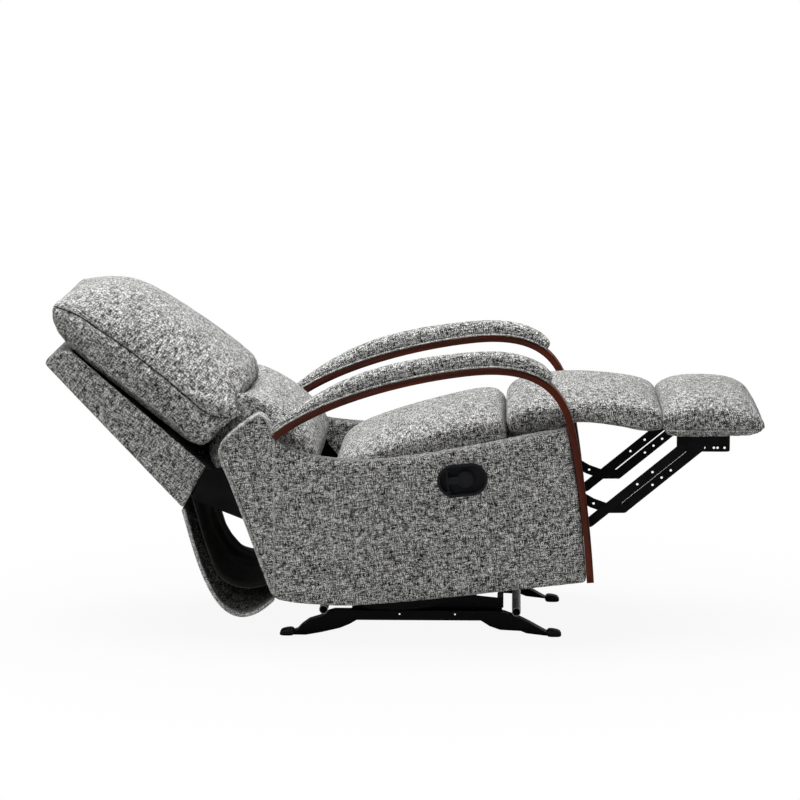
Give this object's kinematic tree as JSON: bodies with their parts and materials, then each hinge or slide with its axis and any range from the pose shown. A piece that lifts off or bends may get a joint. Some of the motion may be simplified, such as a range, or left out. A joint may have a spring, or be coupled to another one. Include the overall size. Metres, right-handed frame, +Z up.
{
  "type": "rocker recliner",
  "caption": "Padded reclining rocking armchair with bentwood arms, shown reclined with its footrest raised; the back, seat, footrest linkage and rocking base all move.",
  "frame": {"origin": "on the floor, under the middle of the chair's overall box", "axes": "+X towards the footrest, +Y towards the sitter's left, +Z up"},
  "size_m": [1.6293, 0.7064, 0.7901],
  "materials": {
    "black_steel": "semi-gloss",
    "zinc_steel": "satin zinc",
    "black_plastic": "matte",
    "tweed_fabric": "slub tweed",
    "cushion_fabric": "slub tweed",
    "mahogany_wood": "satin lacquer",
    "birch_wood": "raw",
    "black_lining": "matte"
  },
  "bodies": {
    "base": {"base_rail_right": "black_steel", "base_rail_left": "black_steel", "base_feet": "black_plastic", "cross_tube_front": "zinc_steel", "cross_tube_rear": "zinc_steel", "spring_strap_front": "black_steel", "spring_strap_rear": "black_steel", "cam_guides": "black_steel", "rocker_springs_right": "zinc_steel", "rocker_springs_left": "zinc_steel"},
    "chassis": {"rocker_cam_right": "black_steel", "rocker_cam_left": "black_steel", "cross_member_front": "black_steel", "cross_member_rear": "black_steel", "mechanism_plate_right": "black_steel", "mechanism_plate_left": "black_steel", "side_panel_right": "tweed_fabric", "side_panel_left": "tweed_fabric", "arm_wood_right": "mahogany_wood", "arm_wood_left": "mahogany_wood", "arm_pad_right": "cushion_fabric", "arm_pad_left": "cushion_fabric", "front_rail": "birch_wood", "rear_rail": "birch_wood", "handle_cup": "black_plastic", "release_cable": "black_plastic", "panel_bolts": "zinc_steel", "back_flap": "tweed_fabric", "flap_lining": "black_lining"},
    "lever": {"release_lever": "black_plastic"},
    "back": {"back_bracket_right": "black_steel", "back_bracket_left": "black_steel", "back_frame": "black_lining", "back_shell": "tweed_fabric", "back_webbing": "black_lining", "back_pillow": "cushion_fabric", "lumbar_cushion": "cushion_fabric"},
    "seat": {"seat_plate_right": "black_steel", "seat_plate_left": "black_steel", "seat_frame": "birch_wood", "seat_springs": "zinc_steel", "seat_cushion": "cushion_fabric", "chaise_pad": "cushion_fabric"},
    "inner_links": {"inner_link_right": "black_steel", "inner_link_left": "black_steel", "drive_tube": "black_steel"},
    "tail_links": {"tail_link_right": "black_steel", "tail_link_left": "black_steel"},
    "outer_upper_links": {"outer_link_upper_right": "black_steel", "outer_link_upper_left": "black_steel"},
    "outer_lower_links": {"outer_link_lower_right": "black_steel", "outer_link_lower_left": "black_steel"},
    "footrest": {"footrest_bracket_right": "black_steel", "footrest_bracket_left": "black_steel", "footrest_board": "birch_wood", "footrest_pad": "cushion_fabric"}
  },
  "joints": [
    {"name": "rock", "type": "hinge", "parent": "base", "child": "chassis", "pos_m": [0.023, 0, 0.06], "axis": [0, 1, 0], "range_deg": [0, 13.4], "stiffness_Nm_per_rad": 260, "springref_deg": -20.05, "deforming": ["rocker_springs_right", "rocker_springs_left"]},
    {"name": "release", "type": "hinge", "parent": "chassis", "child": "lever", "pos_m": [0.09986, -0.345, 0.37512], "axis": [0.1167, 0, -0.9932], "range_deg": [0, 26], "stiffness_Nm_per_rad": 0.4, "springref_deg": -17.19},
    {"name": "recline", "type": "hinge", "parent": "chassis", "child": "back", "pos_m": [-0.21934, 0, 0.36582], "axis": [0, 1, 0], "range_deg": [0, 26], "deforming": ["back_flap", "flap_lining", "lumbar_cushion"]},
    {"name": "seat_tilt", "type": "hinge", "parent": "chassis", "child": "seat", "pos_m": [-0.1937, 0, 0.27619], "axis": [0, 1, 0], "range_deg": [-0.2, 3.8]},
    {"name": "footrest", "type": "hinge", "parent": "seat", "child": "inner_links", "pos_m": [0.28595, 0, 0.39295], "axis": [0, 1, 0], "range_deg": [0, 80], "deforming": ["chaise_pad"]},
    {"name": "outer_upper", "type": "hinge", "parent": "inner_links", "child": "outer_upper_links", "pos_m": [0.45968, 0, 0.3026], "axis": [0, 1, 0], "range_deg": [-99, 1]},
    {"name": "outer_lower", "type": "hinge", "parent": "inner_links", "child": "outer_lower_links", "pos_m": [0.49767, 0, 0.30307], "axis": [0, 1, 0], "range_deg": [-99, 1]},
    {"name": "foot_pivot", "type": "hinge", "parent": "outer_upper_links", "child": "footrest", "pos_m": [0.62992, 0, 0.44195], "axis": [0, 1, 0], "range_deg": [-1, 99]},
    {"name": "tail", "type": "hinge", "parent": "seat", "child": "tail_links", "pos_m": [0.24832, 0, 0.34473], "axis": [0, 1, 0], "range_deg": [-1, 84]}
  ],
  "couplings": [
    {"joint": "seat_tilt", "follows": "recline", "ratio": 0.1346},
    {"joint": "outer_upper", "follows": "footrest", "ratio": -1.2125},
    {"joint": "outer_lower", "follows": "footrest", "ratio": -1.2125},
    {"joint": "foot_pivot", "follows": "footrest", "ratio": 1.2125},
    {"joint": "tail", "follows": "footrest", "ratio": 1.0255}
  ]
}
